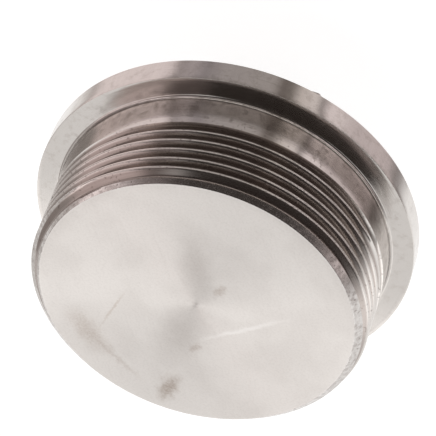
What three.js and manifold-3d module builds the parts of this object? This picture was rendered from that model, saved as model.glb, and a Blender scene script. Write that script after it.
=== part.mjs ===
// Hexagon-head screw plug with collar and parallel pipe thread (nominal size 2 inch), turned from one bar.
// Millimetres, +Z up along the thread axis, threaded end upwards. The origin is the centre of the hexagon
// head's end face, on which the plug stands; collar, plain neck and threaded shank follow above it.
import * as THREE from 'three';
import { mergeVertices } from 'three/addons/utils/BufferGeometryUtils.js';
import Module from 'manifold-3d';

const wasm = await Module();
wasm.setup();

// Shank and pipe thread: 11 threads per inch, right-handed, flanks at 55 degrees to each other. The
// thread's depth is a set share of its pitch, and the lead chamfer reaches a little below the roots.
const threadMajorDiameter = 59.614;
const threadPitch = 2.309;
const depthPerPitch = 0.640327;
const flankHalfAngle = THREE.MathUtils.degToRad(27.5);
const shankLength = 20;
const chamferBelowRoots = 0.47;
const plainNeckLength = 6.4;
const neckFillet = 0.6;

// Where the groove runs: its centre line crosses the end face at this angle from +X, and the tool lifts
// out of the metal over the run-out angle at the collar end of the thread.
const grooveStartAngle = THREE.MathUtils.degToRad(125);
const grooveLeadIn = THREE.MathUtils.degToRad(180);
const runOutAngle = THREE.MathUtils.degToRad(80);

// Collar with its sealing face towards the thread.
const collarDiameter = 68;
const collarThickness = 5;
const sealingEdgeBreak = 0.1;
const rearChamfer = 0.5;

// Hexagon head for a spanner. A shallow cone trims this much off its corners at the end face.
const acrossFlats = 36;
const headHeight = 15;
const cornerTrim = 0.58;
const headChamferAngle = THREE.MathUtils.degToRad(30);

// Facets: one turn is divided evenly, and the fillet into a few steps. The groove's section reaches past
// the thread's crests by the tool clearance. Corners closer than a gap are one corner.
const turnSteps = 72;
const filletSteps = 3;
const toolClearance = 0.2;
const poleGap = 1e-5;
const sliverGap = 5e-3;

const threadRadius = threadMajorDiameter / 2;
const threadDepth = depthPerPitch * threadPitch;
const rootRadius = threadRadius - threadDepth;
const leadChamfer = threadDepth + chamferBelowRoots;
const collarRadius = collarDiameter / 2;
const cornerRadius = acrossFlats / Math.sqrt(3);
const facetAngle = 2 * Math.PI / turnSteps;
const sealingFace = headHeight + collarThickness;
const endFace = sealingFace + shankLength;

const steel = new THREE.MeshStandardMaterial({ color: 0xcdc9c6, roughness: 0.34, metalness: 1 });

// Joins the corners that lie closer together than the gap, and drops the triangles that this closes up.
function welded(geometry, gap) {
  const merged = mergeVertices(geometry, gap);
  const corners = merged.index.array;
  const kept = [];
  for (let i = 0; i < corners.length; i += 3) {
    const [a, b, c] = corners.slice(i, i + 3);
    if (a !== b && b !== c && c !== a) {
      kept.push(a, b, c);
    }
  }
  merged.setIndex(kept);
  return merged;
}

// A closed body of joined triangles, ready for cutting and joining.
function toSolid(geometry) {
  geometry.deleteAttribute('normal');
  geometry.deleteAttribute('uv');
  const merged = welded(geometry, poleGap);
  const vertProperties = new Float32Array(merged.attributes.position.array);
  const triVerts = new Uint32Array(merged.index.array);
  return new wasm.Manifold(new wasm.Mesh({ numProp: 3, vertProperties, triVerts }));
}

function toGeometry(solid) {
  const mesh = solid.getMesh();
  const geometry = new THREE.BufferGeometry();
  geometry.setAttribute('position', new THREE.BufferAttribute(mesh.vertProperties, 3));
  geometry.setIndex(new THREE.BufferAttribute(mesh.triVerts, 1));
  return welded(geometry, sliverGap);
}

// Turns an outline of [radius, height] points about the Z axis.
function turned(outline) {
  const points = outline.map(([radius, height]) => new THREE.Vector2(radius, height));
  return new THREE.LatheGeometry(points, turnSteps).rotateX(Math.PI / 2);
}

// The concave quarter round between neck and sealing face, from the collar up to the neck.
function filletPoints() {
  const points = [];
  for (let i = 0; i <= filletSteps; i += 1) {
    const turn = (i / filletSteps) * Math.PI / 2;
    const radius = threadRadius + neckFillet * (1 - Math.sin(turn));
    points.push([radius, sealingFace + neckFillet * (1 - Math.cos(turn))]);
  }
  return points;
}

// Collar and unthreaded shank in one turned outline.
function collarAndShank() {
  return toSolid(turned([
    [0, headHeight],
    [collarRadius - rearChamfer, headHeight],
    [collarRadius, headHeight + rearChamfer],
    [collarRadius, sealingFace - sealingEdgeBreak],
    [collarRadius - sealingEdgeBreak, sealingFace],
    ...filletPoints(),
    [threadRadius, endFace - leadChamfer],
    [threadRadius - leadChamfer, endFace],
    [0, endFace],
  ]));
}

// The metal that the threading tool takes away: its section is drawn out straight, with the angle turned
// as the length, then wound clockwise around the axis and down by one pitch for each turn.
function threadGroove() {
  const rootHalf = (threadPitch / 2 - threadDepth * Math.tan(flankHalfAngle)) / 2;
  const topHalf = rootHalf + (threadDepth + toolClearance) * Math.tan(flankHalfAngle);
  const section = new THREE.Shape([
    new THREE.Vector2(rootRadius, -rootHalf),
    new THREE.Vector2(threadRadius + toolClearance, -topHalf),
    new THREE.Vector2(threadRadius + toolClearance, topHalf),
    new THREE.Vector2(rootRadius, rootHalf),
  ]);
  const threadLength = shankLength - plainNeckLength;
  const turnedAngle = grooveLeadIn + 2 * Math.PI * threadLength / threadPitch;
  const steps = Math.round(turnedAngle / facetAngle);
  const fullAngle = steps * facetAngle;
  const bar = new THREE.ExtrudeGeometry(section, { depth: fullAngle, steps, bevelEnabled: false });
  const position = bar.attributes.position;
  for (let i = 0; i < position.count; i += 1) {
    const turn = position.getZ(i);
    const lift = Math.max(0, 1 - (fullAngle - turn) / runOutAngle) * (threadDepth + toolClearance / 2);
    const radius = position.getX(i) + lift;
    const angle = grooveStartAngle + grooveLeadIn - turn;
    const drop = (turn - grooveLeadIn) * threadPitch / (2 * Math.PI);
    const height = endFace - drop + position.getY(i);
    position.setXYZ(i, radius * Math.cos(angle), radius * Math.sin(angle), height);
  }
  return toSolid(bar);
}

// Hexagonal prism with two flats square to X, its corners trimmed by a cone at the free end. It starts
// half-way into the collar, so that head and collar join in solid metal.
function hexagonHead() {
  const corners = [];
  for (let i = 0; i < 6; i += 1) {
    const angle = Math.PI / 6 + i * Math.PI / 3;
    corners.push(new THREE.Vector2(cornerRadius * Math.cos(angle), cornerRadius * Math.sin(angle)));
  }
  const rootInCollar = headHeight + collarThickness / 2;
  const outline = new THREE.Shape(corners);
  const prism = new THREE.ExtrudeGeometry(outline, { depth: rootInCollar, bevelEnabled: false });
  const faceRadius = cornerRadius - cornerTrim;
  const coneHeight = (collarRadius - faceRadius) * Math.tan(headChamferAngle);
  const trim = turned([
    [0, 0],
    [faceRadius, 0],
    [collarRadius, coneHeight],
    [collarRadius, rootInCollar],
    [0, rootInCollar],
  ]);
  return toSolid(prism).intersect(toSolid(trim));
}

const body = collarAndShank().add(hexagonHead()).subtract(threadGroove());
const plugBody = new THREE.Mesh(toGeometry(body), steel);
plugBody.name = 'plug_body';

const screwPlug = new THREE.Group();
screwPlug.name = 'screw_plug';
screwPlug.add(plugBody);

export default screwPlug;
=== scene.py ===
"""Looks of the hexagon head screw plug with collar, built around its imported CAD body."""
import math

import bpy
import numpy as np
from mathutils import Matrix, Vector


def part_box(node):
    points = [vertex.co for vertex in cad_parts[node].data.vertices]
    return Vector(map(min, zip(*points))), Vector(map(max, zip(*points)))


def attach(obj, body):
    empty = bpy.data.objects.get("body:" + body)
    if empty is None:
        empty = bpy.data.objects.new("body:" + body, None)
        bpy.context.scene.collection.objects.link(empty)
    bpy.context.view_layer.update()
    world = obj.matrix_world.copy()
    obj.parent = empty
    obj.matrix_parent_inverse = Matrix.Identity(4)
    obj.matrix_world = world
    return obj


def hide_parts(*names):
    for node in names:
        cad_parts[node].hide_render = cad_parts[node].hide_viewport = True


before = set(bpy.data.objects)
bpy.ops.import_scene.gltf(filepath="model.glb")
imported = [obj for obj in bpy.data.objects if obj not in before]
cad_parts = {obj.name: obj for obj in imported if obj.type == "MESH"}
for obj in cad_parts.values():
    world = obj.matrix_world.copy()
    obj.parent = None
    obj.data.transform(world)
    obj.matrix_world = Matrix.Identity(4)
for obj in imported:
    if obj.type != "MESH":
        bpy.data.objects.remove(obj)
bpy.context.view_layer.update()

# ---------------------------------------------------------------------------------------------------
# Plug body. One solid piece of stainless bar, turned, threaded and milled: end face with a lead
# chamfer, pipe thread, plain neck, collar with its sealing face, and a hexagon head to turn it by.
mm = 0.001
low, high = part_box("plug_body")
end_face = high.z
collar_radius = (high.x - low.x) / 2
head_height = 15 * mm
collar_thickness = 5 * mm
sealing_face = head_height + collar_thickness
thread_radius = 29.807 * mm
lead_chamfer = 1.9485 * mm
neck_fillet = 0.6 * mm
sealing_edge = 0.1 * mm
rear_chamfer = 0.5 * mm

# Columns run round the axis and crowd towards the six corners of the head, rows run along the outline.
columns = 360
crowding = 0.55
even = np.arange(columns) * (2 * math.pi / columns)
turn = even + crowding * np.sin(6 * even) / 6
points = []
triangles = []
finishes = []
finish_names = ["end_face", "lead", "thread", "neck", "sealing_face", "rim", "back"]
finish_names += ["head_side", "head_end"]


def next_number():
    """The number that the next new corner gets."""
    return sum(len(made) for made in points)


def add_rows(radius, height):
    """Corners at (radius, turn, height) for each row and column; returns their numbers as a grid."""
    radius, height = np.broadcast_arrays(radius, height)
    radius = np.broadcast_to(radius.reshape(len(radius), -1), (len(radius), columns))
    height = np.broadcast_to(height.reshape(len(height), -1), (len(height), columns))
    start = next_number()
    points.append(np.stack([radius * np.cos(turn), radius * np.sin(turn), height], 2).reshape(-1, 3))
    return start + np.arange(radius.size).reshape(radius.shape)


def add_faces(grid, finish):
    """Two triangles for each square of a grid of corner numbers, without the ones that have no area."""
    a, b, c, d = grid[:-1, :-1], grid[1:, :-1], grid[1:, 1:], grid[:-1, 1:]
    made = np.concatenate([np.stack([a, b, c], 2).reshape(-1, 3), np.stack([a, c, d], 2).reshape(-1, 3)])
    distinct = (made[:, 0] != made[:, 1]) & (made[:, 1] != made[:, 2]) & (made[:, 0] != made[:, 2])
    triangles.append(made[distinct])
    finishes.append(np.full(distinct.sum(), finish_names.index(finish)))


def closed(*grids):
    """Stacks rows of corner numbers and repeats their first column, which closes them round the axis."""
    rows = np.concatenate([np.atleast_2d(g) for g in grids])
    return np.concatenate([rows, rows[:, :1]], 1)


def arc(centre, size, start, stop, steps):
    """Radii and heights at even angles along a circular arc in the outline, angles in degrees."""
    angle = np.radians(np.linspace(start, stop, steps))
    return centre[0] + size * np.cos(angle), centre[1] + size * np.sin(angle)


# End face: flat, from the axis out to the small rounding at the start of the 45 degree lead chamfer.
edge_size = 0.15 * mm
inner_ring = 1.2 * mm
lead_radius = thread_radius - lead_chamfer
tangent = edge_size * math.tan(math.radians(22.5))
face_rows = np.linspace(inner_ring, lead_radius - tangent, 14)
centre = add_rows(np.array([0.0]), np.array([end_face]))[:, :1]
face_grid = add_rows(face_rows, np.full(len(face_rows), end_face))
round_r, round_z = arc((lead_radius - tangent, end_face - edge_size), edge_size, 90, 45, 4)
edge_grid = add_rows(round_r[1:], round_z[1:])
add_faces(closed(np.repeat(centre, columns, 1), face_grid), "end_face")
add_faces(closed(face_grid[-1], edge_grid), "lead")

# Pipe thread: 11 threads per inch, 55 degrees between flanks, crests and roots rounded to one radius.
# The tool comes in at the end face, winds towards the collar and lifts out over less than a quarter turn.
pitch = 2.309 * mm
thread_depth = 1.479 * mm
thread_round = 0.317 * mm
half_angle = 27.5
flank = math.radians(half_angle)
groove_start = math.radians(125)
groove_length = 13.6 * mm
groove_angle = 2 * math.pi * groove_length / pitch
run_out = math.radians(80)
thread_top = round_z[-1]
thread_bottom = 25.3 * mm


def groove_rise(across, crest_rounded):
    """Height above the root at a distance from the groove's middle: root arc, straight flank, crest arc."""
    across = np.abs(across)
    arc_end = thread_round * math.cos(flank)
    arc_rise = thread_round * (1 - math.sin(flank))
    root = thread_round - np.sqrt(np.maximum(thread_round**2 - across**2, 0))
    crest = np.sqrt(np.maximum(thread_round**2 - (pitch / 2 - across) ** 2, 0))
    crest = thread_depth - thread_round + crest
    straight = arc_rise + (across - arc_end) / math.tan(flank)
    rounded = (across > pitch / 2 - arc_end) & crest_rounded
    return np.where(across < arc_end, root, np.where(rounded, crest, straight))


def thread_surface(height, across):
    """Radius of the thread's groove, raised as the tool lifts out at its end. The edge towards the neck
    stays sharp, because no further turn of the tool rounds it, and the flank runs on past the crest."""
    travelled = (end_face - (height - across)) * 2 * math.pi / pitch
    lift = np.clip(1 - (groove_angle - travelled) / run_out, 0, None) * thread_depth
    crest_rounded = (across > 0) | (travelled < groove_angle - 2 * math.pi)
    return thread_radius - thread_depth + groove_rise(across, crest_rounded) + lift


def cone_surface(height, across):
    """Radius of the 45 degree lead chamfer, which grows by as much as the height falls."""
    return thread_radius - lead_chamfer + (end_face - height)


def plain_surface(height, across):
    """Radius of the bar the thread is cut in, the same at every height."""
    return thread_radius + 0 * height


def snapped(height, across, first, second):
    """Moves the rows next to the line where two surfaces cross onto it, where their gap would be nought
    if it changed evenly from row to row, so that the line is an edge of the mesh."""
    gap = first(height, across) - second(height, across)
    share = gap[:-1] / np.where(gap[:-1] == gap[1:], 1, gap[:-1] - gap[1:])
    crossing = (gap[:-1] * gap[1:] < 0) & (share > 0) & (share < 1)
    step = height[1:] - height[:-1]
    shift = np.zeros_like(height)
    shift[:-1] += np.where(crossing & (share < 0.5), share * step, 0)
    shift[1:] += np.where(crossing & (share >= 0.5), (share - 1) * step, 0)
    return height + shift, across + shift


arc_steps = np.radians(np.linspace(half_angle - 90, 90 - half_angle, 8))
root_rows = thread_round * np.sin(arc_steps)
crest_rows = pitch / 2 - thread_round * np.sin(arc_steps)
flank_rows = np.linspace(root_rows[-1], crest_rows[-1], 6)[1:-1]
one_pitch = np.concatenate([-flank_rows[::-1], root_rows, flank_rows, crest_rows[::-1]])
per_pitch = len(one_pitch)
pitches = math.ceil((thread_top - thread_bottom) / pitch) + 3
across = np.tile(one_pitch[::-1], pitches)[:, None]
groove_number = np.repeat(np.arange(pitches), per_pitch)[:, None] - 2
start_drop = groove_number * pitch + groove_start / (2 * math.pi) * pitch
height = end_face - start_drop + pitch * turn / (2 * math.pi) + across
height, across = snapped(height, across, thread_surface, cone_surface)
height, across = snapped(height, across, thread_surface, plain_surface)
thread_r = np.minimum(thread_surface(height, across), cone_surface(height, across))
thread_r = np.minimum(thread_r, thread_radius)

neck_rows = np.linspace(thread_bottom, sealing_face + neck_fillet, 6)
neck_grid = add_rows(np.full(len(neck_rows), thread_radius), neck_rows)
inside = (height < thread_top) & (height > thread_bottom)
start = next_number()
numbers = np.where(height >= thread_top, edge_grid[-1][None], neck_grid[0][None])
numbers[inside] = start + np.arange(inside.sum())
shank = np.stack([thread_r * np.cos(turn), thread_r * np.sin(turn), height], 2)
points.append(shank[inside])

# After one turn a row meets the same row of the groove above it. Faces that lie on the lead chamfer's
# cone take its finish.
seam = np.concatenate([np.full(per_pitch, edge_grid[-1][0]), numbers[:-per_pitch, 0]])
add_faces(np.concatenate([numbers, seam[:, None]], 1), "thread")
corners = np.concatenate(points)
corner_radius = np.hypot(corners[:, 0], corners[:, 1])
on_cone = np.abs(corner_radius - cone_surface(corners[:, 2], 0)) < 0.001 * mm
finishes[-1][on_cone[triangles[-1]].all(1)] = finish_names.index("lead")

# Plain neck, the fillet at its foot and the sealing face, cut in one pass with a round-nosed tool.
fillet_centre = (thread_radius + neck_fillet, sealing_face + neck_fillet)
fillet_r, fillet_z = arc(fillet_centre, neck_fillet, 180, 270, 9)
fillet_grid = add_rows(fillet_r[1:], fillet_z[1:])
seal_rows = np.linspace(fillet_r[-1], collar_radius - sealing_edge, 8)[1:]
seal_grid = add_rows(seal_rows, np.full(len(seal_rows), sealing_face))
add_faces(closed(neck_grid, fillet_grid[:4]), "neck")
add_faces(closed(fillet_grid[3:], seal_grid), "sealing_face")

# Collar rim, with a rounded front edge and a wider chamfer behind.
front_r, front_z = arc((collar_radius - sealing_edge, sealing_face - sealing_edge), sealing_edge, 90, 0, 6)
rim_rows = np.linspace(front_z[-1], head_height + rear_chamfer, 6)[1:]
chamfer_r = np.linspace(collar_radius, collar_radius - rear_chamfer, 4)[1:]
chamfer_z = np.linspace(head_height + rear_chamfer, head_height, 4)[1:]
rim_r = np.concatenate([front_r[1:], np.full(len(rim_rows), collar_radius), chamfer_r])
rim_z = np.concatenate([front_z[1:], rim_rows, chamfer_z])
rim_grid = add_rows(rim_r, rim_z)
add_faces(closed(seal_grid[-1], rim_grid), "rim")

# Hexagon head: flats milled from the bar, corners slightly rounded and trimmed by a shallow cone.
flat_distance = 18 * mm
corner_round = 0.35 * mm
head_fillet = 0.5 * mm
head_face_radius = 20.2 * mm
head_cone = math.tan(math.radians(30))
edge_round = 0.2 * mm
innermost = 0.06
sharp_from = math.radians(32)


def hexagon(grow):
    """Distance from the axis to a hexagon with rounded corners: flat distance over the cosine of the angle
    from the flat's middle, and near a corner the far side of that corner's circle."""
    inner = flat_distance + grow
    from_corner = math.pi / 6 - np.abs((turn + math.pi / 6) % (math.pi / 3) - math.pi / 6)
    centre_out = (inner - corner_round) / math.cos(math.pi / 6)
    limit = math.pi / 6 - math.atan((inner - corner_round) * math.tan(math.pi / 6) / inner)
    under = np.maximum(corner_round**2 - (centre_out * np.sin(from_corner)) ** 2, 0)
    rounded = centre_out * np.cos(from_corner) + np.sqrt(under)
    straight = inner / np.cos(math.pi / 6 - from_corner)
    return np.where(from_corner < limit, rounded, straight)


wide = hexagon(head_fillet)
side = hexagon(0)
share_in = np.linspace(0, 1, 7)[1:, None]
back_r = (collar_radius - rear_chamfer) * (1 - share_in) + wide * share_in
back_grid = add_rows(back_r, np.full((len(back_r), 1), head_height))
add_faces(closed(rim_grid[-1], back_grid), "back")
fillet_turn = np.radians(np.linspace(0, 90, 6))[1:, None]
foot_r = side + (wide - side) * (1 - np.sin(fillet_turn))
foot_z = head_height - head_fillet * (1 - np.cos(fillet_turn))
trim = np.maximum(side - head_face_radius, 0) * head_cone
side_top = head_height - head_fillet
side_low = np.maximum(trim, edge_round)
side_share = np.linspace(0, 1, 6)[1:, None]
side_z = side_top * (1 - side_share) + side_low * side_share
side_grid = add_rows(np.concatenate([foot_r, np.broadcast_to(side, side_z.shape)]),
                     np.concatenate([np.broadcast_to(foot_z, foot_r.shape), side_z]))
add_faces(closed(back_grid[-1], side_grid), "head_side")
cone_r = np.minimum(side, head_face_radius)
edge_turn = np.radians(np.linspace(0, 90, 5))[1:, None]
edge_r = side - (side - cone_r + edge_round) * (1 - np.cos(edge_turn))
edge_z = side_low * (1 - np.sin(edge_turn))
end_rows = np.linspace(1, innermost, 8)[1:, None] * (cone_r - edge_round)
end_grid = add_rows(np.concatenate([edge_r, end_rows]), np.concatenate([edge_z, np.zeros_like(end_rows)]))
head_centre = add_rows(np.array([0.0]), np.array([0.0]))[:, :1]
add_faces(closed(side_grid[-1], end_grid, np.repeat(head_centre, columns, 1)), "head_end")

# All of it is one closed mesh. Edges that were turned or milled sharp stay sharp in the shading.
corners = np.concatenate(points)
faces = np.concatenate(triangles)
used, faces = np.unique(faces, return_inverse=True)
faces = faces.reshape(-1, 3)
mesh = bpy.data.meshes.new("plug")
mesh.vertices.add(len(used))
mesh.vertices.foreach_set("co", corners[used].astype(np.float32).ravel())
mesh.loops.add(faces.size)
mesh.loops.foreach_set("vertex_index", faces.astype(np.int32).ravel())
mesh.polygons.add(len(faces))
mesh.polygons.foreach_set("loop_start", np.arange(0, faces.size, 3, dtype=np.int32))
mesh.polygons.foreach_set("material_index", np.concatenate(finishes).astype(np.int32))
mesh.update(calc_edges=True)
mesh.validate()
mesh.shade_smooth()
mesh.set_sharp_from_angle(angle=sharp_from)
plug = bpy.data.objects.new("plug", mesh)
bpy.context.scene.collection.objects.link(plug)
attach(plug, "root")
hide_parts("plug_body")


# Finishes of the steel. All of it is bare stainless, so every finish is the same metal cut another way.
class Wire:
    """One output of a shader node. Sums and products of wires and numbers add Math nodes."""

    def __init__(self, tree, socket=None):
        self.tree = tree
        self.socket = socket

    def node(self, kind, settings=None, sockets=None, out=0):
        """Adds a node, sets it up, fills its sockets with numbers or wires, and returns one output."""
        made = self.tree.nodes.new(kind)
        for key, value in (settings or {}).items():
            if key == "stops":
                ramp = made.color_ramp.elements
                while len(ramp) < len(value):
                    ramp.new(0.5)
                for stop, (place, colour) in zip(ramp, value):
                    stop.position = place
                    stop.color = colour
            else:
                setattr(made, key, value)
        for key, value in (sockets or {}).items():
            if isinstance(value, Wire):
                self.tree.links.new(value.socket, made.inputs[key])
            else:
                made.inputs[key].default_value = value
        return Wire(self.tree, made.outputs[out]) if made.outputs else None

    def math(self, operation, first, second=0.0):
        """One Math node on two wires or numbers."""
        return self.node("ShaderNodeMath", {"operation": operation}, {0: first, 1: second})

    def __add__(self, other):
        return self.math("ADD", self, other)

    def __radd__(self, other):
        return self.math("ADD", other, self)

    def __sub__(self, other):
        return self.math("SUBTRACT", self, other)

    def __rsub__(self, other):
        return self.math("SUBTRACT", other, self)

    def __mul__(self, other):
        return self.math("MULTIPLY", self, other)

    def __rmul__(self, other):
        return self.math("MULTIPLY", other, self)

    def smooth(self, start, stop):
        """Goes smoothly from 0 at start to 1 at stop."""
        ends = {"Value": self, "From Min": start, "From Max": stop, "To Min": 0.0, "To Max": 1.0}
        return self.node("ShaderNodeMapRange", {"interpolation_type": "SMOOTHSTEP"}, ends)

    def blend(self, low_colour, high_colour):
        """Colour that goes from one to the other as this value goes from 0 to 1."""
        mix = {"data_type": "RGBA"}
        return self.node("ShaderNodeMix", mix, {0: self, 6: low_colour, 7: high_colour}, out=2)


steel_colour = (0.665, 0.637, 0.615, 1)
dull_colour = (0.52, 0.485, 0.46, 1)

# The tool's lines are a few thousandths of a millimetre deep, and its scallops lean by 6 degrees.
line_depth = 0.003 * mm
scallop_lean = math.tan(math.radians(6))


def start_material(name):
    """New material with its tree emptied; returns it, a wire to add nodes with, and the place in mm."""
    material = bpy.data.materials.new(name)
    material.use_nodes = True
    material.node_tree.nodes.clear()
    tree = Wire(material.node_tree)
    place = tree.node("ShaderNodeTexCoord", out="Object")
    place = tree.node("ShaderNodeVectorMath", {"operation": "SCALE"}, {0: place, "Scale": 1000.0})
    return material, tree, place


def finish_material(tree, colour, roughness, normal, anisotropy):
    """Joins colour, roughness and normal to a metal surface and that to the output."""
    sockets = {"Base Color": colour, "Roughness": roughness, "Normal": normal}
    sockets.update({"Metallic": 1.0, "Anisotropic": anisotropy, "Anisotropic Rotation": 0.25})
    surface = tree.node("ShaderNodeBsdfPrincipled", None, sockets)
    tree.node("ShaderNodeOutputMaterial", None, {"Surface": surface})


def split(tree, vector):
    """The x, y and z of a vector as three wires."""
    x = tree.node("ShaderNodeSeparateXYZ", None, {0: vector})
    outputs = x.socket.node.outputs
    return x, Wire(tree.tree, outputs[1]), Wire(tree.tree, outputs[2])


def axis_distance(tree, place):
    """Distance from the plug's axis in mm: the root of x squared plus y squared."""
    x, y = split(tree, place)[:2]
    return tree.math("SQRT", x * x + y * y)


def bump(tree, depth, height):
    """Normal of a surface that rises by the height's value times the depth."""
    return tree.node("ShaderNodeBump", None, {"Strength": 1.0, "Distance": depth, "Height": height})


def noise(tree, vector, scale, detail=3.0, roughness=0.5):
    """Clouds from 0 to 1, as many to a unit of the vector as the scale says."""
    sockets = {"Vector": vector, "Scale": scale, "Detail": detail, "Roughness": roughness}
    return tree.node("ShaderNodeTexNoise", {"noise_dimensions": "3D"}, sockets)


def turning_lines(tree, distance, per_mm):
    """Uneven fine lines left by the tool, as a height from 0 to 1 that only changes with distance."""
    sockets = {"W": distance, "Scale": per_mm, "Detail": 3.0, "Roughness": 0.6}
    return tree.node("ShaderNodeTexNoise", {"noise_dimensions": "1D"}, sockets)


def plain_finish(name, along, rough, anisotropy, dirt):
    """Plain cut steel: fine lines side by side along the radius or the height, clouds of duller metal."""
    material, tree, place = start_material(name)
    distance = axis_distance(tree, place) if along == "radius" else split(tree, place)[2]
    lines = turning_lines(tree, distance, 4.0)
    clouds = noise(tree, place, 0.11, 4.0, 0.6)
    specks = noise(tree, place, 0.9, 3.0, 0.6)
    dull = clouds.smooth(0.48, 0.72) * dirt + specks.smooth(0.62, 0.75) * (0.4 * dirt)
    colour = dull.blend(steel_colour, dull_colour)
    roughness = rough + (lines - 0.5) * 0.10 + dull * 0.12
    finish_material(tree, colour, roughness, bump(tree, line_depth, lines), anisotropy)
    return material


def mark(tree, place, x, y, degrees, half_length, half_width):
    """1 inside a soft-edged long mark on a face across the axis, 0 outside; sizes in mm."""
    sockets = {"Vector": place, "Location": (x, y, 0), "Rotation": (0, 0, math.radians(degrees))}
    sockets["Scale"] = (half_length, half_width, 1000)
    inside = tree.node("ShaderNodeMapping", {"vector_type": "TEXTURE"}, sockets)
    inside = tree.node("ShaderNodeVectorMath", {"operation": "LENGTH"}, {0: inside}, out="Value")
    return inside.smooth(1.5, 0.15)


def marks(tree, place, rows):
    """Several marks added up. A row holds what mark() needs, and last how strong that mark is."""
    parts = [mark(tree, place, *row[:-1]) * row[-1] for row in rows]
    return sum(parts[1:], parts[0])


def ragged(tree, place, scale, reach):
    """The place, moved about by up to half the reach in mm, which frays the edges of marks."""
    sockets = {"Vector": place, "Scale": scale, "Detail": 3.0, "Roughness": 0.6}
    drift = tree.node("ShaderNodeTexNoise", None, sockets, out="Color")
    drift = tree.node("ShaderNodeVectorMath", {"operation": "SUBTRACT"}, {0: drift, 1: (0.5, 0.5, 0.5)})
    drift = tree.node("ShaderNodeVectorMath", {"operation": "SCALE"}, {0: drift, "Scale": reach})
    return tree.node("ShaderNodeVectorMath", {"operation": "ADD"}, {0: place, 1: drift})


def end_face_finish():
    """Faced off from the rim to the axis, then handled: stains, a scratch, a centre pip, and two wedges of
    painted shade.
    """
    material, tree, place = start_material("end_face_steel")
    radius = axis_distance(tree, place)
    frayed = ragged(tree, place, 0.7, 3.0)
    lines = turning_lines(tree, radius, 5.0)
    wide_lines = turning_lines(tree, radius, 0.9)
    clouds = noise(tree, place, 0.09, 3.0, 0.5)
    grain = noise(tree, place, 2.4, 4.0, 0.7)
    patchy = grain.smooth(0.25, 0.70)
    wiped = tree.node("ShaderNodeMapping", None, {"Vector": place, "Rotation": (0, 0, math.radians(35))})
    wiped = tree.node("ShaderNodeVectorMath", {"operation": "MULTIPLY"}, {0: wiped, 1: (0.12, 1.1, 1.0)})
    wiped = noise(tree, wiped, 1.0, 3.0, 0.6)
    stain = marks(tree, frayed, [(-9.1, 20.5, -74.5, 3.4, 1.6, 0.75), (-0.8, -6.0, -80, 1.6, 0.9, 0.45),
                                 (-6.2, 8.6, -80, 1.5, 0.8, 0.40), (9.0, 20.4, -20, 5.2, 2.4, 0.40),
                                 (1.5, 21.9, -9, 5.4, 0.7, 0.30)])
    stain = stain * (0.35 + patchy * 0.65)
    # Painted shade: two darker wedges that run out from the centre on opposite sides of the face.
    wedge_shade = marks(tree, frayed, [(5.2, -7.1, -45, 7.0, 2.9, 0.46), (-2.3, 6.5, -70, 6.5, 3.6, 0.40)])
    scratch = mark(tree, ragged(tree, place, 1.4, 0.9), 9.1, 12.5, -79.4, 4.8, 0.24) * 0.4
    bright = mark(tree, ragged(tree, place, 0.35, 2.0), -9.2, -1.8, -113.6, 8.0, 0.45)
    # The dull mix holds clouds, grain and wiping, which are real, and the painted shade of the two wedges.
    dull = clouds.smooth(0.40, 0.65) * 0.22 + wedge_shade + wide_lines.smooth(0.5, 0.8) * 0.03
    dull = dull + grain.smooth(0.42, 0.68) * 0.22 + wiped.smooth(0.5, 0.75) * 0.08
    colour = dull.blend(steel_colour, (0.47, 0.438, 0.418, 1))
    colour = (stain + scratch).blend(colour, (0.41, 0.335, 0.28, 1))
    colour = (bright * 0.45).blend(colour, (0.78, 0.76, 0.75, 1))
    pip = radius.smooth(0.9, 0.4)
    roughness = 0.36 + (lines - 0.5) * 0.12 + stain * 0.15 - bright * 0.05 + pip * 0.1
    finish_material(tree, colour, roughness, bump(tree, line_depth, lines + pip * 3.0), 0.8)
    return material


def lead_finish():
    """The lead chamfer: turned bright with scallops that lean towards the axis, darker where swarf was
    wiped off, dotted with small nicks."""
    material, tree, place = start_material("lead_chamfer_steel")
    radius = axis_distance(tree, place)
    grime = noise(tree, place, 1.1, 4.0, 0.65).smooth(0.38, 0.70)
    nicks = noise(tree, place, 2.2, 2.0, 0.5).smooth(0.67, 0.74)
    colour = grime.blend((0.62, 0.60, 0.585, 1), (0.43, 0.40, 0.385, 1))
    colour = nicks.blend(colour, (0.20, 0.175, 0.165, 1))
    lines = turning_lines(tree, radius, 6.0)
    roughness = 0.18 + grime * 0.12 + (lines - 0.5) * 0.08
    height = radius * scallop_lean + lines * 0.003 - nicks * 0.012
    finish_material(tree, colour, roughness, bump(tree, mm, height), 0.4)
    return material


def thread_finish():
    """The thread: crests bright, grooves with painted shade that darkens deeper in, scored along their
    turns.
    The painted shade begins just under the crests, and is at its darkest half a millimetre under them."""
    material, tree, place = start_material("thread_steel")
    crest = thread_radius / mm
    shade_top = crest - 0.087
    shade_full = crest - 0.507
    x, y, z = split(tree, place)
    radius = axis_distance(tree, place)
    angle = tree.math("ARCTAN2", y, x)
    stretched = tree.node("ShaderNodeCombineXYZ", None, {0: angle * 3.0, 1: z * 2.4, 2: radius * 2.4})
    scoring = noise(tree, stretched, 1.0, 4.0, 0.65)
    specks = noise(tree, place, 1.8, 2.0, 0.5).smooth(0.62, 0.70)
    # Painted shade: the grooves' steel turns darker the deeper it lies under the crests.
    deep = radius.smooth(shade_top, shade_full) * (0.55 + scoring * 0.6)
    colour = deep.blend(steel_colour, (0.34, 0.30, 0.28, 1))
    colour = (specks * 0.5).blend(colour, (0.16, 0.135, 0.125, 1))
    roughness = 0.10 + deep * 0.04 + scoring * 0.05
    finish_material(tree, colour, roughness, bump(tree, 2 * line_depth, scoring), 0.3)
    return material


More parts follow.
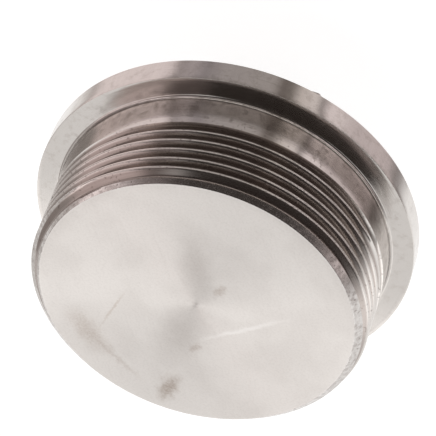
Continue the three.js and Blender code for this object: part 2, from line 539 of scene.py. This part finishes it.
def wall_finish(name, rough, streaked, mottled):
    """A turned wall round the axis: faint streaks along the axis, mottling, hairlines round the wall."""
    material, tree, place = start_material(name)
    x, y, z = split(tree, place)
    across = tree.node("ShaderNodeCombineXYZ", None, {0: x * 0.7, 1: y * 0.7, 2: z * 0.05})
    streaks = noise(tree, across, 1.0, 3.0, 0.6).smooth(0.35, 0.65)
    hairs = tree.node("ShaderNodeCombineXYZ", None, {0: x * 0.12, 1: y * 0.12, 2: z * 7.0})
    hairs = noise(tree, hairs, 1.0, 3.0, 0.6)
    blots = noise(tree, place, 0.55, 4.0, 0.7).smooth(0.47, 0.70)
    colour = (streaks * streaked).blend(steel_colour, (0.42, 0.385, 0.38, 1))
    colour = (blots * mottled).blend(colour, (0.36, 0.33, 0.30, 1))
    colour = (hairs.smooth(0.58, 0.70) * (0.5 * mottled)).blend(colour, (0.25, 0.22, 0.21, 1))
    roughness = rough + (hairs - 0.5) * 0.12 + blots * (0.10 * mottled)
    finish_material(tree, colour, roughness, bump(tree, line_depth, hairs + blots * mottled), 0.85)
    return material


def sealing_face_finish():
    """The sealing face. Every scallop the tool left leans a little away from the axis, so the face
    mirrors as if it were a shallow cone, though it is flat."""
    material, tree, place = start_material("sealing_face_steel")
    radius = axis_distance(tree, place)
    lines = turning_lines(tree, radius, 4.0)
    blots = noise(tree, place, 0.5, 4.0, 0.7).smooth(0.47, 0.70)
    # Painted shade: the sealing face's steel is darker than the rest of the plug.
    colour = (blots * 0.5).blend((0.53, 0.505, 0.485, 1), (0.42, 0.39, 0.365, 1))
    roughness = 0.13 + (lines - 0.5) * 0.10 + blots * 0.05
    height = lines * 0.003 - radius * scallop_lean
    finish_material(tree, colour, roughness, bump(tree, mm, height), 0.6)
    return material


# The finishes go on in the order of finish_names.
mesh.materials.append(end_face_finish())
mesh.materials.append(lead_finish())
mesh.materials.append(thread_finish())
mesh.materials.append(wall_finish("neck_steel", rough=0.13, streaked=0.22, mottled=0.65))
mesh.materials.append(sealing_face_finish())
mesh.materials.append(wall_finish("rim_steel", rough=0.13, streaked=0.10, mottled=0.28))
mesh.materials.append(plain_finish("collar_back_steel", "radius", rough=0.34, anisotropy=0.6, dirt=0.35))
mesh.materials.append(plain_finish("head_flat_steel", "height", rough=0.33, anisotropy=0.2, dirt=0.35))
mesh.materials.append(plain_finish("head_end_steel", "radius", rough=0.34, anisotropy=0.6, dirt=0.35))

# ---------------------------------------------------------------------------------------------------
# Camera: a long lens that looks down on the closed end of the plug, turned so that the collar is on top.
view_azimuth = math.radians(22.70)
view_elevation = math.radians(44.19)
view_roll = math.radians(-160.21)
view_distance = 589.7 * mm
aim = Vector((1.85 * mm, -0.77 * mm, sealing_face))
back = Vector((math.sin(view_azimuth) * math.cos(view_elevation),
               -math.cos(view_azimuth) * math.cos(view_elevation), math.sin(view_elevation)))
level = Vector((math.cos(view_azimuth), math.sin(view_azimuth), 0))
right = level * math.cos(view_roll) + back.cross(level) * math.sin(view_roll)
up = back.cross(right)
camera_data = bpy.data.cameras.new("camera")
camera_data.sensor_width = 36
camera_data.lens = 278.5
camera_data.clip_start = 0.05
camera_data.clip_end = 10
camera = bpy.data.objects.new("camera", camera_data)
turned_to = Matrix((right, up, back)).transposed().to_4x4()
camera.matrix_world = Matrix.Translation(aim + back * view_distance) @ turned_to
bpy.context.scene.collection.objects.link(camera)
bpy.context.scene.camera = camera

# ---------------------------------------------------------------------------------------------------
# Floor: a plain pale table that glows, so that it looks white. The steel mirrors the studio and not the
# table.
floor_size = 1.5
floor_mesh = bpy.data.meshes.new("floor")
floor_height = -0.2 * mm
floor_sides = ((-1, -1), (1, -1), (1, 1), (-1, 1))
floor_corners = [(floor_size * sx, floor_size * sy, floor_height) for sx, sy in floor_sides]
floor_mesh.from_pydata(floor_corners, [], [(0, 1, 2, 3)])
floor = bpy.data.objects.new("floor", floor_mesh)
bpy.context.scene.collection.objects.link(floor)
floor.visible_glossy = False
pale = bpy.data.materials.new("pale_table")
pale.use_nodes = True
pale.node_tree.nodes.clear()
table_tree = Wire(pale.node_tree)
table_sockets = {"Base Color": (0.4, 0.4, 0.4, 1), "Roughness": 0.9}
table_sockets.update({"Emission Color": (1, 1, 1, 1), "Emission Strength": 0.88, "Specular IOR Level": 0.0})
table_surface = table_tree.node("ShaderNodeBsdfPrincipled", None, table_sockets)
table_tree.node("ShaderNodeOutputMaterial", None, {"Surface": table_surface})
floor_mesh.materials.append(pale)

# ---------------------------------------------------------------------------------------------------
# Studio: a soft white tent round the plug, with grey, pink and brown cloths hung in it in bands. A cloth's
# place is where the rim mirrors it: 0 degrees at the camera's right, 90 near the top, 180 at its left.
world = bpy.data.worlds.new("studio")
bpy.context.scene.world = world
world.use_nodes = True
world.node_tree.nodes.clear()
studio = Wire(world.node_tree)
towards = studio.node("ShaderNodeTexCoord", out="Generated")
east, north, rise = split(studio, towards)
heading = studio.math("ARCTAN2", north, east)

# The rim mirrors a direction that turns twice as fast as the place on it. Place 0 is at -130 degrees
# round the plug's own axis, and the bands start at place -13.
first_place = -13
camera_right = -130
heading_there = math.radians(2 * (first_place + camera_right) + 90) - view_azimuth
place_round = studio.math("FRACT", (heading - heading_there) * (0.5 / math.pi) + 2)


def side_band(stops):
    """Colours round the plug, blended evenly between the places in degrees that are given."""
    ramp = [((place - first_place) / 180, (*colour, 1)) for place, colour in stops]
    return studio.node("ShaderNodeValToRGB", {"stops": ramp}, {0: place_round})


def above(angle, softness):
    """0 below a height over the horizon, 1 above it, smooth between; angles in degrees."""
    start, stop = math.radians(angle - softness), math.radians(angle + softness)
    return rise.smooth(math.sin(start), math.sin(stop))


def patch(sideways, upwards, inner, outer):
    """1 inside a cone about a direction from the camera's, 0 outside a wider one; angles in degrees."""
    aside, over = math.radians(sideways), math.radians(upwards)
    axis = right * (math.sin(aside) * math.cos(over)) + up * math.sin(over)
    axis = axis + back * (math.cos(aside) * math.cos(over))
    sockets = {0: towards, 1: axis}
    dot = studio.node("ShaderNodeVectorMath", {"operation": "DOT_PRODUCT"}, sockets, out="Value")
    return dot.smooth(math.cos(math.radians(outer)), math.cos(math.radians(inner)))


white = (1.12, 1.105, 1.09)
grey = (0.40, 0.365, 0.355)
brown = (0.20, 0.17, 0.155)
low_band = side_band([(-13, white), (6, white), (12, grey), (15, (0.28, 0.25, 0.24)),
                      (19, (0.70, 0.61, 0.60)), (36, (0.72, 0.63, 0.62)), (40, (0.92, 0.82, 0.81)),
                      (45, (0.92, 0.82, 0.81)), (47, (0.25, 0.22, 0.21)), (49, (0.85, 0.77, 0.74)),
                      (54, (0.72, 0.65, 0.61)), (57, (0.26, 0.23, 0.21)), (60, brown),
                      (63, (0.45, 0.41, 0.39)), (78, (0.43, 0.39, 0.38)), (84, (0.33, 0.295, 0.30)),
                      (88, (0.52, 0.46, 0.46)), (92, (0.36, 0.315, 0.31)), (95, (0.92, 0.81, 0.80)),
                      (119, (0.95, 0.84, 0.82)), (123, (0.46, 0.41, 0.39)), (127, (0.90, 0.86, 0.83)),
                      (134, white)])
brown_band = side_band([(-13, white), (9, white), (15, (0.13, 0.105, 0.095)), (47, (0.10, 0.08, 0.072)),
                        (55, (0.17, 0.14, 0.12)), (60, (0.10, 0.08, 0.072)), (89, (0.12, 0.10, 0.09)),
                        (95, (1.1, 0.92, 0.88)), (117, (1.0, 0.84, 0.80)), (121, grey),
                        (133, (0.6, 0.56, 0.54)), (145, white)])
level_band = side_band([(-13, white), (8, (0.95, 0.92, 0.89)), (16, (1.3, 1.22, 1.15)),
                        (84, (1.3, 1.22, 1.15)), (94, (0.5, 0.44, 0.43)), (118, (0.35, 0.31, 0.30)),
                        (134, (0.8, 0.77, 0.74)), (150, white)])
upper_band = side_band([(-13, white), (12, white), (17, (0.09, 0.074, 0.068)), (80, (0.05, 0.042, 0.038)),
                        (84, (0.30, 0.245, 0.235)), (114, (0.34, 0.28, 0.27)), (121, (0.8, 0.76, 0.73)),
                        (130, white)])
roof_band = side_band([(-13, white), (2, white), (7, (0.06, 0.05, 0.045)), (84, (0.04, 0.034, 0.03)),
                       (90, (0.16, 0.13, 0.125)), (117, (0.20, 0.165, 0.155)), (124, (0.8, 0.76, 0.73)),
                       (132, white)])
foot_band = studio.node("ShaderNodeVectorMath", {"operation": "SCALE"}, {0: low_band, "Scale": 1.5})
tent = above(-36, 3).blend(low_band, brown_band)
tent = above(-12, 3).blend(tent, level_band)
tent = above(4, 3).blend(tent, upper_band)
tent = above(26, 3).blend(tent, foot_band)
tent = above(38, 3).blend(tent, roof_band)
tent = above(71, 5).blend(tent, (*white, 1))

# Two more cloths hang low at the camera's left, a pale pink and a grey one. A dark gap is left from the
# camera downwards, for it to look in through.
tent = patch(-62, -29, 11, 17).blend(tent, (0.95, 0.80, 0.78, 1))
tent = patch(-96, -31, 12, 20).blend(tent, (0.5, 0.46, 0.44, 1))
tent = patch(0, -25, 25, 33).blend(tent, (0.05, 0.042, 0.038, 1))
seen = studio.node("ShaderNodeLightPath", out="Is Camera Ray")
backdrop = seen.blend(tent, (1.05, 1.05, 1.05, 1))
glow = studio.node("ShaderNodeBackground", None, {"Color": backdrop, "Strength": 1.0})
studio.node("ShaderNodeOutputWorld", None, {"Surface": glow})

bpy.context.scene.view_settings.view_transform = "Standard"
bpy.context.scene.view_settings.look = "None"
